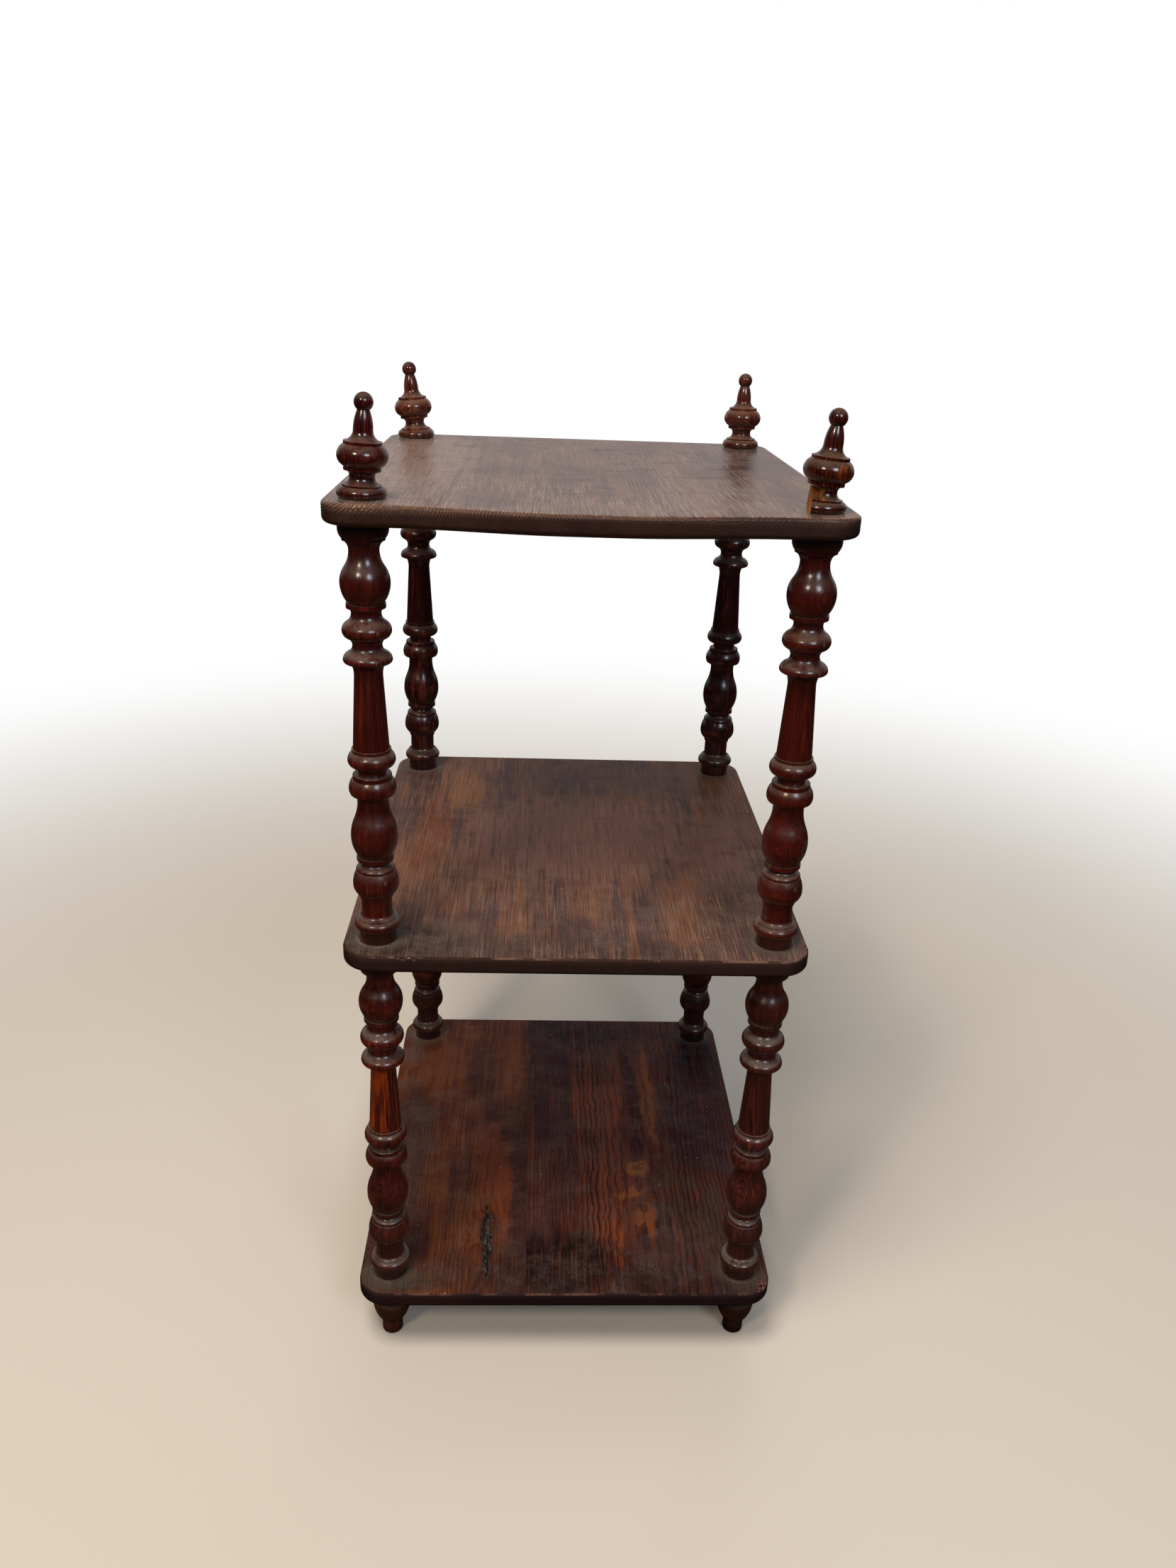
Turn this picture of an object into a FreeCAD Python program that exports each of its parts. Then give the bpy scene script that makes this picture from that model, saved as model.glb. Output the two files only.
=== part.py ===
import FreeCAD, Part
import math
import os

# A three-tier etagere: three equal pine shelves carried on turned posts, with turned
# finials on top and turned feet below.  Millimetres, +Z up, the origin on the floor under
# the middle of the shelves, -Y towards the front.

# ---------------------------------------------------------------- driving dimensions
# The carcass
POST_SPACING_X = 330.0   # between post axes, side to side
POST_SPACING_Y = 384.0   # between post axes, front to back
SHELF_OVERHANG_X = 28.0  # from the post axis to the side edge of a shelf
SHELF_OVERHANG_Y = 32.0  # from the post axis to the front or back edge of a shelf
SHELF_THICK = 16.0
SHELF_CORNER_R = 26.0    # in plan
TOP_EDGE_R = 3.0         # the eased arris round the top of a shelf
BOTTOM_EDGE_R = 4.4      # the rounder arris underneath
TIER_PITCH = 358.0       # from the top of one shelf to the top of the next
NARROW_BOARD_W = 155.0   # each shelf is two boards glued edge to edge: this is the left one

# The spigot under each turning goes through a shelf into a socket in the turning below
SPIGOT_R = 6.2
SPIGOT_REACH = 18.0      # how far it enters the socket
SPIGOT_CHAMFER = 1.0
SPIGOT_CLEARANCE = 0.3   # all round, in the shelf's hole and in the socket
SOCKET_END_GAP = 2.0     # glue room past the end of the spigot

# Radii that the turnings share
BEAD_R = 18.6            # the widest turned radius: beads, discs, bulbs and vases
NECK_R = 11.2            # the narrow necks between them
RING_R = 14.8            # the thin rings and fillets
GROOVE_W = 1.2
GROOVE_DEPTH = 0.9

# Heights along a post, from the shelf that it stands on upward
FOOTING_R = 15.0
FOOTING_H = 10.2
BASE_BEAD_H = 9.6
BASE_COVE_R = 12.4       # the lower neck, above the cove on the base bead
BASE_COVE_H = 4.2
LOWER_NECK_H = 13.8
BALL_FILLET_R = 13.5
BALL_FILLET_H = 2.4
BALL_RISE = 9.6          # from the fillet to the widest place of the ball
BALL_SHOULDER_R = 15.7   # where the groove runs round the ball
BALL_SHOULDER_H = 11.6
BALL_CAP_R = 13.6
BALL_CAP_H = 3.4
BALL_COVE_H = 2.9
RING_BEVEL_H = 2.4
RING_H = 3.4
RING_NOTCH_R = 13.2      # the quirk between a ring and the swelling above it
VASE_RISE = 17.4
VASE_FALL = 30.0
VASE_NECK_R = 12.4
VASE_FLARE_R = 13.3
VASE_FLARE_H = 6.6
RIM_EDGE_R = 17.4        # the crisp lower edge of the big discs
RIM_RISE = 4.3
RIM_TOP_R = 16.0
RIM_FALL = 8.1
THIN_DISC_R = 15.3
THIN_DISC_H = 4.4
THIN_DISC_ROUND = 1.3
SPOOL_NECK_H = 5.8
BEAD_RISE = 5.6
BEAD_FALL = 6.6
BEAD_SHOULDER_R = 15.5
SHAFT_FILLET_R = 15.3
SHAFT_FILLET_H = 1.6
SHAFT_FOOT_R = 14.1
SHAFT_TOP_R = 10.9
SHAFT_FLARE_R = 13.2
SHAFT_FLARE_H = 10.0
BELL_RISE = 2.0
BELL_FALL = 11.2
BULGE_RISE = 11.4
BULGE_FALL = 13.0
BULB_RING_BEVEL_H = 4.2
BULB_RISE = 15.2
BULB_FALL = 23.8
CAP_COVE_R = 15.2
CAP_COVE_H = 7.4
CAP_FILLET_R = 15.9
CAP_FILLET_H = 1.6
CAP_ROUND_START_R = 16.3
CAP_ROUND_H = 6.6
CAP_BAND_H = 5.6

# The finial, from the top shelf upward
FINIAL_BASE_R = 18.0
FINIAL_FOOT_R = 16.4
FINIAL_FOOT_H = 3.2
FINIAL_SHOULDER_R = 14.9
FINIAL_SHOULDER_H = 4.8
FINIAL_COLLAR_R = 14.2
FINIAL_COLLAR_H = 1.2
FINIAL_NECK_R = 9.1
FINIAL_COVE_H = 5.7
FINIAL_RING_START_R = 12.0
FINIAL_RING_FLARE_H = 4.0
FINIAL_RING_R = 13.4
FINIAL_RING_H = 2.4
FINIAL_QUIRK_R = 12.7
FINIAL_BELLY_RISE = 7.6
FINIAL_BELLY_FALL = 7.8
FINIAL_BELLY_R = 18.2
FINIAL_LEDGE_R = 13.7
FINIAL_LEDGE_H = 2.2
FINIAL_BELL_START_R = 12.9
FINIAL_BELL_FOOT_R = 7.0
FINIAL_BELL_COVE_H = 7.6
FINIAL_BELL_H = 13.4
FINIAL_BALL_NECK_R = 4.4
FINIAL_BALL_R = 6.8
FINIAL_SPLIT_X = 9.0     # the split-off flank of the front right finial, from its axis
FINIAL_SPLIT_TURN = -6.0  # degrees that the split is turned towards the front

# The foot, from the floor upward
FOOT_H = 57.5            # from the floor to the underside of the bottom shelf
FOOT_TIP_ROUND = 2.4
FOOT_PEG_R = 9.6
FOOT_PEG_H = 14.5
FOOT_BOWL_R = 17.6
FOOT_BOWL_RISE = 22.0    # from the peg to the widest place of the bowl
FOOT_BOWL_LIP_R = 16.9
FOOT_BOWL_LIP_H = 3.0
FOOT_NECK_R = 13.2

TOLERANCE = 1e-6         # lengths below this count as nothing

# ---------------------------------------------------------------- derived places
POST_X = POST_SPACING_X / 2
POST_Y = POST_SPACING_Y / 2
SHELF_HALF_X = POST_X + SHELF_OVERHANG_X
SHELF_HALF_Y = POST_Y + SHELF_OVERHANG_Y
HOLE_R = SPIGOT_R + SPIGOT_CLEARANCE
SPIGOT_L = SHELF_THICK + SPIGOT_REACH
SOCKET_DEPTH = SPIGOT_REACH + SOCKET_END_GAP
POST_H = TIER_PITCH - SHELF_THICK
BOTTOM_SHELF_TOP = FOOT_H + SHELF_THICK
SHELF_TOPS = {
    "bottom": BOTTOM_SHELF_TOP,
    "middle": BOTTOM_SHELF_TOP + TIER_PITCH,
    "top": BOTTOM_SHELF_TOP + 2 * TIER_PITCH,
}
CORNERS = {
    "front_left": (-POST_X, -POST_Y),
    "front_right": (POST_X, -POST_Y),
    "rear_left": (-POST_X, POST_Y),
    "rear_right": (POST_X, POST_Y),
}


# ---------------------------------------------------------------- turned outlines
class Turning:
    """A lathe outline, drawn upward from its lowest point as radius against height."""

    def __init__(self, radius, height):
        self.r = radius
        self.z = height
        self.start = (radius, height)
        self.edges = []

    def _point(self, radius, height):
        return FreeCAD.Vector(radius, 0, height)

    def _line(self, radius, height):
        here = self._point(self.r, self.z)
        there = self._point(radius, height)
        if here.distanceToPoint(there) > TOLERANCE:
            self.edges.append(Part.LineSegment(here, there).toShape())
        self.r = radius
        self.z = height

    def _arc(self, radius, height, centre_r, centre_z):
        """The short arc about a centre, from here to the given radius and height."""
        start = math.atan2(self.z - centre_z, self.r - centre_r)
        end = math.atan2(height - centre_z, radius - centre_r)
        turn = (end - start + math.pi) % (2 * math.pi) - math.pi
        middle = start + turn / 2
        rho = math.hypot(self.r - centre_r, self.z - centre_z)
        through = self._point(centre_r + rho * math.cos(middle), centre_z + rho * math.sin(middle))
        arc = Part.Arc(self._point(self.r, self.z), through, self._point(radius, height))
        self.edges.append(arc.toShape())
        self.r = radius
        self.z = height

    def straight(self, rise):
        """A cylinder."""
        self._line(self.r, self.z + rise)

    def shoulder(self, radius):
        """A flat step in or out."""
        self._line(radius, self.z)

    def taper(self, radius, rise):
        """A straight cone."""
        self._line(radius, self.z + rise)

    def leave(self, radius, rise):
        """A hollow or a round that leaves this point straight up."""
        dr = radius - self.r
        rho = (dr * dr + rise * rise) / (2 * abs(dr))
        self._arc(radius, self.z + rise, self.r + math.copysign(rho, dr), self.z)

    def arrive(self, radius, rise):
        """A hollow or a round that ends straight up."""
        dr = radius - self.r
        rho = (dr * dr + rise * rise) / (2 * abs(dr))
        self._arc(radius, self.z + rise, radius - math.copysign(rho, dr), self.z + rise)

    def ogee(self, radius, rise):
        """An S of two equal arcs, upright at both ends."""
        self.leave((self.r + radius) / 2, rise / 2)
        self.arrive(radius, rise / 2)

    def groove(self, width, depth):
        """A scored V groove, back out to the radius that it started from."""
        rim = self.r
        self.taper(rim - depth, width / 2)
        self.taper(rim, width / 2)

    def ball(self, radius, neck_r):
        """A ball that stands on a neck and closes on the axis."""
        centre_z = self.z + math.sqrt(radius ** 2 - neck_r ** 2)
        low = math.atan2(self.z - centre_z, neck_r)
        middle = (low + math.pi / 2) / 2
        through = self._point(radius * math.cos(middle), centre_z + radius * math.sin(middle))
        top = self._point(0, centre_z + radius)
        self.edges.append(Part.Arc(self._point(self.r, self.z), through, top).toShape())
        self.r = 0.0
        self.z = centre_z + radius

    def bore(self, radius, depth):
        """A flat-bottomed socket, bored down from the top face."""
        self._line(radius, self.z)
        self._line(radius, self.z - depth)
        self._line(0.0, self.z)

    def solid(self):
        """The outline closed along the axis and turned all the way round."""
        axis_top = self._point(0, self.z)
        axis_foot = self._point(0, self.start[1])
        rim_foot = self._point(*self.start)
        edges = list(self.edges)
        if self.r > TOLERANCE:
            edges.append(Part.LineSegment(self._point(self.r, self.z), axis_top).toShape())
        edges.append(Part.LineSegment(axis_top, axis_foot).toShape())
        edges.append(Part.LineSegment(axis_foot, rim_foot).toShape())
        face = Part.Face(Part.Wire(Part.__sortEdges__(edges)))
        return face.revolve(FreeCAD.Vector(0, 0, 0), FreeCAD.Vector(0, 0, 1), 360)


def begin_on_spigot(footing_r):
    """A turning whose spigot hangs below the shelf top at height 0."""
    piece = Turning(SPIGOT_R - SPIGOT_CHAMFER, -SPIGOT_L)
    piece.taper(SPIGOT_R, SPIGOT_CHAMFER)
    piece.straight(SPIGOT_L - SPIGOT_CHAMFER)
    piece.shoulder(footing_r)
    return piece


def base_collar(piece):
    """The footing, its bead and the cove up to the lower neck."""
    piece.straight(FOOTING_H)
    piece.arrive(BEAD_R, BASE_BEAD_H / 2)
    piece.leave(BALL_SHOULDER_R, BASE_BEAD_H / 2)
    piece.groove(GROOVE_W, GROOVE_DEPTH)
    piece.arrive(BASE_COVE_R, BASE_COVE_H)
    piece.straight(LOWER_NECK_H)


def ball_and_cap(piece):
    """The ball on its fillet, scored near the top, and the cove to the neck above."""
    piece.shoulder(BALL_FILLET_R)
    piece.straight(BALL_FILLET_H)
    piece.arrive(BEAD_R, BALL_RISE)
    piece.leave(BALL_SHOULDER_R, BALL_SHOULDER_H)
    piece.groove(GROOVE_W, GROOVE_DEPTH)
    piece.leave(BALL_CAP_R, BALL_CAP_H)
    piece.arrive(NECK_R, BALL_COVE_H)


def ring(piece, bevel_h, notch_r):
    """A thin ring that flares out of a neck, and the quirk above it."""
    piece.leave((NECK_R + RING_R) / 2, bevel_h)
    piece.shoulder(RING_R)
    piece.straight(RING_H)
    piece.shoulder(notch_r)


def vase(piece):
    """The long vase up to the hollow under the stepped disc."""
    piece.arrive(BEAD_R, VASE_RISE)
    piece.ogee(VASE_NECK_R, VASE_FALL)
    piece.leave(VASE_FLARE_R, VASE_FLARE_H)


def stepped_disc(piece):
    """A big disc with a crisp lower edge and a thin disc on it, then a short neck."""
    piece.shoulder(RIM_EDGE_R)
    piece.arrive(BEAD_R, RIM_RISE)
    piece.leave(RIM_TOP_R, RIM_FALL)
    piece.shoulder(THIN_DISC_R)
    piece.straight(THIN_DISC_H - THIN_DISC_ROUND)
    piece.leave(THIN_DISC_R - THIN_DISC_ROUND, THIN_DISC_ROUND)
    piece.shoulder(NECK_R)
    piece.straight(SPOOL_NECK_H)


def shaft_bead(piece):
    """The bead below the shaft, scored near its top, and the fillet on it."""
    piece.shoulder(RING_NOTCH_R)
    piece.arrive(BEAD_R, BEAD_RISE)
    piece.leave(BEAD_SHOULDER_R, BEAD_FALL)
    piece.groove(GROOVE_W, GROOVE_DEPTH)
    piece.shoulder(SHAFT_FILLET_R)
    piece.straight(SHAFT_FILLET_H)


def shaft(piece, rise):
    """The long taper, flared at the top."""
    piece.shoulder(SHAFT_FOOT_R)
    piece.taper(SHAFT_TOP_R, rise - SHAFT_FLARE_H)
    piece.leave(SHAFT_FLARE_R, SHAFT_FLARE_H)


def bell_bulge_and_bulb(piece):
    """The bell-topped disc, the bulge, the ring and the bulb, one on the other."""
    piece.shoulder(RIM_EDGE_R)
    piece.arrive(BEAD_R, BELL_RISE)
    piece.ogee(NECK_R, BELL_FALL)
    piece.ogee(BEAD_R, BULGE_RISE)
    piece.ogee(NECK_R, BULGE_FALL)
    ring(piece, BULB_RING_BEVEL_H, RING_NOTCH_R)
    piece.arrive(BEAD_R, BULB_RISE)
    piece.ogee(NECK_R, BULB_FALL)


def capital(piece, cove_h):
    """The cove, fillet and banded collar that meet the underside of the shelf above."""
    piece.leave(CAP_COVE_R, cove_h)
    piece.shoulder(CAP_FILLET_R)
    piece.straight(CAP_FILLET_H)
    piece.shoulder(CAP_ROUND_START_R)
    piece.arrive(BEAD_R, CAP_ROUND_H)
    piece.straight(CAP_BAND_H)


def rise_of(*parts):
    """The height that some parts of an outline take up together."""
    trial = Turning(FOOTING_R, 0.0)
    for part in parts:
        part(trial)
    return trial.z


def lower_half(piece):
    """Everything on a post below the shaft."""
    base_collar(piece)
    ball_and_cap(piece)
    ring(piece, RING_BEVEL_H, RING_NOTCH_R)
    vase(piece)
    stepped_disc(piece)


def upper_half(piece):
    """Everything on a post above the shaft."""
    bell_bulge_and_bulb(piece)
    capital(piece, CAP_COVE_H)


def post():
    """A whole post; the long shaft takes up what the tier height leaves."""
    fixed_h = rise_of(lower_half, shaft_bead, upper_half)
    piece = begin_on_spigot(FOOTING_R)
    lower_half(piece)
    shaft_bead(piece)
    shaft(piece, POST_H - fixed_h)
    upper_half(piece)
    piece.bore(HOLE_R, SOCKET_DEPTH)
    return piece.solid()


def finial():
    """Base disc, collar, squashed belly, bell and ball."""
    piece = begin_on_spigot(FINIAL_FOOT_R)
    piece.arrive(FINIAL_BASE_R, FINIAL_FOOT_H)
    piece.leave(FINIAL_SHOULDER_R, FINIAL_SHOULDER_H)
    piece.shoulder(FINIAL_COLLAR_R)
    piece.straight(FINIAL_COLLAR_H)
    piece.arrive(FINIAL_NECK_R, FINIAL_COVE_H)
    piece.leave(FINIAL_RING_START_R, FINIAL_RING_FLARE_H)
    piece.shoulder(FINIAL_RING_R)
    piece.straight(FINIAL_RING_H)
    piece.shoulder(FINIAL_QUIRK_R)
    piece.arrive(FINIAL_BELLY_R, FINIAL_BELLY_RISE)
    piece.leave(FINIAL_LEDGE_R, FINIAL_BELLY_FALL)
    piece.straight(FINIAL_LEDGE_H)
    piece.shoulder(FINIAL_BELL_START_R)
    piece.arrive(FINIAL_BELL_FOOT_R, FINIAL_BELL_COVE_H)
    piece.leave(FINIAL_BALL_NECK_R, FINIAL_BELL_H)
    piece.ball(FINIAL_BALL_R, FINIAL_BALL_NECK_R)
    return piece.solid()


def split_finial():
    """The front right finial, whose base has lost a flake along the grain."""
    height = FINIAL_FOOT_H + FINIAL_SHOULDER_H + FINIAL_COLLAR_H + FINIAL_COVE_H
    width = 2 * FINIAL_BASE_R
    flake = Part.makeBox(width, 2 * width, height)
    flake.translate(FreeCAD.Vector(-FINIAL_SPLIT_X - width, -width, 0))
    flake.rotate(FreeCAD.Vector(0, 0, 0), FreeCAD.Vector(0, 0, 1), FINIAL_SPLIT_TURN)
    return finial().cut(flake)


def foot():
    """A peg that swells to a lipped bowl under a short capital, bored for the spigot above."""
    cap_h = CAP_FILLET_H + CAP_ROUND_H + CAP_BAND_H
    piece = Turning(FOOT_PEG_R - FOOT_TIP_ROUND, 0.0)
    piece.arrive(FOOT_PEG_R, FOOT_TIP_ROUND)
    piece.straight(FOOT_PEG_H - FOOT_TIP_ROUND)
    piece.arrive(FOOT_BOWL_R, FOOT_BOWL_RISE)
    piece.leave(FOOT_BOWL_LIP_R, FOOT_BOWL_LIP_H)
    piece.shoulder(FOOT_NECK_R)
    capital(piece, FOOT_H - piece.z - cap_h)
    piece.bore(HOLE_R, SOCKET_DEPTH)
    return piece.solid()


# ---------------------------------------------------------------- shelves
def edges_at(solid, height):
    """The outline edges of a solid that lie wholly at one height."""
    level = []
    for edge in solid.Edges:
        box = edge.BoundBox
        if abs(box.ZMin - height) < TOLERANCE and abs(box.ZMax - height) < TOLERANCE:
            level.append(edge)
    return level


def upright_edges(solid):
    """The corner edges of a shelf blank."""
    return [edge for edge in solid.Edges if edge.BoundBox.ZLength > SHELF_THICK / 2]


def shelf_panel(top):
    """One shelf before it is divided into its boards."""
    panel = Part.makeBox(2 * SHELF_HALF_X, 2 * SHELF_HALF_Y, SHELF_THICK)
    panel.translate(FreeCAD.Vector(-SHELF_HALF_X, -SHELF_HALF_Y, top - SHELF_THICK))
    panel = panel.makeFillet(SHELF_CORNER_R, upright_edges(panel))
    panel = panel.makeFillet(TOP_EDGE_R, edges_at(panel, top))
    panel = panel.makeFillet(BOTTOM_EDGE_R, edges_at(panel, top - SHELF_THICK))
    for x, y in CORNERS.values():
        low = FreeCAD.Vector(x, y, top - SHELF_THICK)
        panel = panel.cut(Part.makeCylinder(HOLE_R, SHELF_THICK, low))
    return panel


def shelf_boards(top):
    """The narrow left board and the wide right board, meeting in a glued butt joint."""
    panel = shelf_panel(top)
    left = Part.makeBox(NARROW_BOARD_W, 2 * SHELF_HALF_Y, SHELF_THICK)
    left.translate(FreeCAD.Vector(-SHELF_HALF_X, -SHELF_HALF_Y, top - SHELF_THICK))
    return panel.common(left), panel.cut(left)


# ---------------------------------------------------------------- the assembly
def placed(shape, x, y, z):
    """A copy of a shape, moved from the origin to a place in the assembly."""
    piece = shape.copy()
    piece.translate(FreeCAD.Vector(x, y, z))
    return piece


def assembly():
    """Every piece of the etagere by its node name."""
    pieces = {}
    for tier, top in SHELF_TOPS.items():
        left, right = shelf_boards(top)
        pieces[tier + "_shelf_left_board"] = left
        pieces[tier + "_shelf_right_board"] = right
    post_shape = post()
    finial_shape = finial()
    foot_shape = foot()
    for corner, (x, y) in CORNERS.items():
        pieces["foot_" + corner] = placed(foot_shape, x, y, 0)
        pieces["lower_post_" + corner] = placed(post_shape, x, y, SHELF_TOPS["bottom"])
        pieces["upper_post_" + corner] = placed(post_shape, x, y, SHELF_TOPS["middle"])
        crown = split_finial() if corner == "front_right" else finial_shape
        pieces["finial_" + corner] = placed(crown, x, y, SHELF_TOPS["top"])
    return pieces


os.makedirs("parts", exist_ok=True)
for node, shape in assembly().items():
    shape.exportStep("parts/" + node + ".step")
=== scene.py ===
import math
import random
from types import SimpleNamespace

import bmesh
import bpy
from mathutils import Matrix, Vector


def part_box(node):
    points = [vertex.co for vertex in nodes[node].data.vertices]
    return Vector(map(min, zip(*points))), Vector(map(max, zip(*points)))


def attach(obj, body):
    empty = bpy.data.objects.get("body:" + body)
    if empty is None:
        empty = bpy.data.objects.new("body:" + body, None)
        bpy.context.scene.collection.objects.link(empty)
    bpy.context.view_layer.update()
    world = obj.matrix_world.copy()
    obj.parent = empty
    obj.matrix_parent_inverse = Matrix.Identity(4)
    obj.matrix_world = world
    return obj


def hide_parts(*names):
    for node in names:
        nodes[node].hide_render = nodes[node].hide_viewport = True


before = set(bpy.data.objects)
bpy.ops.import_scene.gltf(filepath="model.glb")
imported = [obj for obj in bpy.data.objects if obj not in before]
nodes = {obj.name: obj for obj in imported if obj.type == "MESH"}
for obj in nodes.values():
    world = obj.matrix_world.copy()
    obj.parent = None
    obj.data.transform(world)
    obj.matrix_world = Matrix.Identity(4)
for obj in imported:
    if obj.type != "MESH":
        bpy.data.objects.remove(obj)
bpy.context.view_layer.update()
scene = bpy.context.scene

# Places that several sections share, in metres
POST_X = 0.165                 # from the middle of the stand to a post's axis, sideways
POST_Y = 0.192                 # and front to back
CORNERS = {
    "front_left": (-POST_X, -POST_Y),
    "front_right": (POST_X, -POST_Y),
    "rear_left": (-POST_X, POST_Y),
    "rear_right": (POST_X, POST_Y),
}
SHELF_TOP = {"top": 0.7895, "middle": 0.4315, "bottom": 0.0735}
FOOT_OF = {                    # what each kind of turning stands on
    "foot": 0.0,
    "lower_post": SHELF_TOP["bottom"],
    "upper_post": SHELF_TOP["middle"],
    "finial": SHELF_TOP["top"],
}

# ---------------------------------------------------------------- the camera
CAM_AT = Vector((-0.037151, -1.049932, 0.927451))
CAM_YAW = math.radians(2.7356)
CAM_PITCH = math.radians(22.4812)
CAM_ROLL = math.radians(-2.1721)
FOCAL_PX = 1662.06
IMAGE_H_PX = 2212.0
SENSOR_MM = 36.0

forward = Vector((
    math.sin(CAM_YAW) * math.cos(CAM_PITCH),
    math.cos(CAM_YAW) * math.cos(CAM_PITCH),
    -math.sin(CAM_PITCH),
))
level = Vector((math.cos(CAM_YAW), -math.sin(CAM_YAW), 0.0))
down = forward.cross(level)
right = level * math.cos(CAM_ROLL) + down * math.sin(CAM_ROLL)
up = -(down * math.cos(CAM_ROLL) - level * math.sin(CAM_ROLL))
camera = bpy.data.objects.new("camera", bpy.data.cameras.new("camera"))
scene.collection.objects.link(camera)
turned = Matrix((right, up, -forward)).transposed().to_4x4()
camera.matrix_world = Matrix.Translation(CAM_AT) @ turned
camera.data.sensor_width = SENSOR_MM
camera.data.lens = FOCAL_PX / IMAGE_H_PX * SENSOR_MM
scene.camera = camera


# ---------------------------------------------------------------- short calls for node trees
class Value:
    """A number in a node tree, with plain arithmetic."""

    def __init__(self, graph, socket):
        self.graph = graph
        self.socket = socket

    def __add__(self, other):
        return self.graph.math("ADD", self, other)

    def __radd__(self, other):
        return self.graph.math("ADD", self, other)

    def __sub__(self, other):
        return self.graph.math("SUBTRACT", self, other)

    def __rsub__(self, other):
        return self.graph.math("SUBTRACT", other, self)

    def __mul__(self, other):
        return self.graph.math("MULTIPLY", self, other)

    def __rmul__(self, other):
        return self.graph.math("MULTIPLY", self, other)

    def __truediv__(self, other):
        return self.graph.math("DIVIDE", self, other)

    def __neg__(self):
        return self.graph.math("MULTIPLY", self, -1.0)


class Graph:
    """The node tree of a material or of the world, emptied and ready for new nodes."""

    def __init__(self, tree):
        self.tree = tree
        self.tree.nodes.clear()

    def node(self, kind, **settings):
        made = self.tree.nodes.new(kind)
        for key, value in settings.items():
            setattr(made, key, value)
        return made

    def put(self, socket, value):
        """Links a value to a socket, or writes a constant on it."""
        if isinstance(value, Value):
            self.tree.links.new(value.socket, socket)
        elif isinstance(value, bpy.types.NodeSocket):
            self.tree.links.new(value, socket)
        elif value is not None:
            socket.default_value = value

    def math(self, kind, first, second=None, clamp=False):
        made = self.node("ShaderNodeMath", operation=kind, use_clamp=clamp)
        self.put(made.inputs[0], first)
        self.put(made.inputs[1], second)
        return Value(self, made.outputs[0])

    def most(self, first, second):
        return self.math("MAXIMUM", first, second)

    def clamped(self, value):
        return self.math("ADD", value, 0.0, clamp=True)

    def root(self, value):
        return self.math("SQRT", value)

    def absolute(self, value):
        return self.math("ABSOLUTE", value)

    def fraction(self, value):
        return self.math("FRACT", value)

    def step(self, value, low, high):
        """0 at low, 1 at high and smooth between; low may be above high."""
        flip = low > high
        made = self.node("ShaderNodeMapRange", interpolation_type="SMOOTHSTEP")
        self.put(made.inputs["Value"], value)
        made.inputs["From Min"].default_value = min(low, high)
        made.inputs["From Max"].default_value = max(low, high)
        made.inputs["To Min"].default_value = 1.0 if flip else 0.0
        made.inputs["To Max"].default_value = 0.0 if flip else 1.0
        return Value(self, made.outputs["Result"])

    def hill(self, place, centre, width):
        """A soft hill of height 1 about a place on an axis."""
        off = (place - centre) / width
        return self.math("EXPONENT", -(off * off))

    def vector(self, x, y, z):
        made = self.node("ShaderNodeCombineXYZ")
        for socket, value in zip(made.inputs, (x, y, z)):
            self.put(socket, value)
        return Value(self, made.outputs[0])

    def noise(self, x, y, z, detail=2.0, rough=0.5, seed=0.0):
        """Noise from 0 to 1 about a half; x, y and z are already scaled."""
        shift = self.node("ShaderNodeVectorMath", operation="ADD")
        self.put(shift.inputs[0], self.vector(x, y, z))
        shift.inputs[1].default_value = (seed * 7.31, seed * 3.17 + 11.0, seed * 5.03 - 4.0)
        made = self.node("ShaderNodeTexNoise", noise_dimensions="3D")
        self.put(made.inputs["Vector"], shift.outputs[0])
        made.inputs["Scale"].default_value = 1.0
        made.inputs["Detail"].default_value = detail
        made.inputs["Roughness"].default_value = rough
        return Value(self, made.outputs["Fac"])

    def cells(self, x, y, z):
        """Distance to the nearest of scattered points, and a random number for each."""
        made = self.node("ShaderNodeTexVoronoi", voronoi_dimensions="3D")
        self.put(made.inputs["Vector"], self.vector(x, y, z))
        made.inputs["Scale"].default_value = 1.0
        split = self.node("ShaderNodeSeparateColor")
        self.put(split.inputs[0], made.outputs["Color"])
        return Value(self, made.outputs["Distance"]), Value(self, split.outputs[0])

    def mix(self, amount, first, second):
        """The first colour at an amount of 0, the second at 1."""
        made = self.node("ShaderNodeMix", data_type="RGBA", blend_type="MIX", clamp_factor=True)
        self.put(made.inputs["Factor"], amount)
        self.put(made.inputs[6], first)
        self.put(made.inputs[7], second)
        return made.outputs[2]

    def split(self, vector):
        made = self.node("ShaderNodeSeparateXYZ")
        self.put(made.inputs[0], vector)
        return [Value(self, out) for out in made.outputs]

    def place(self):
        """Object coordinates: metres in the part's own frame."""
        return self.split(self.node("ShaderNodeTexCoord").outputs["Object"])

    def facing(self):
        """The surface's normal, with the bump left out."""
        return self.split(self.node("ShaderNodeNewGeometry").outputs["Normal"])

    def finish(self, color, rough, height, depth, coat=0.0, coat_rough=0.1, specular=0.5):
        """The shader, its bump of a depth in metres, and the output."""
        shader = self.node("ShaderNodeBsdfPrincipled")
        self.put(shader.inputs["Base Color"], color)
        self.put(shader.inputs["Roughness"], rough)
        shader.inputs["Coat Weight"].default_value = coat
        shader.inputs["Coat Roughness"].default_value = coat_rough
        shader.inputs["Specular IOR Level"].default_value = specular
        bump = self.node("ShaderNodeBump")
        bump.inputs["Strength"].default_value = 1.0
        bump.inputs["Distance"].default_value = depth
        self.put(bump.inputs["Height"], height)
        self.put(shader.inputs["Normal"], bump.outputs[0])
        self.put(self.node("ShaderNodeOutputMaterial").inputs[0], shader.outputs[0])


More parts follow.
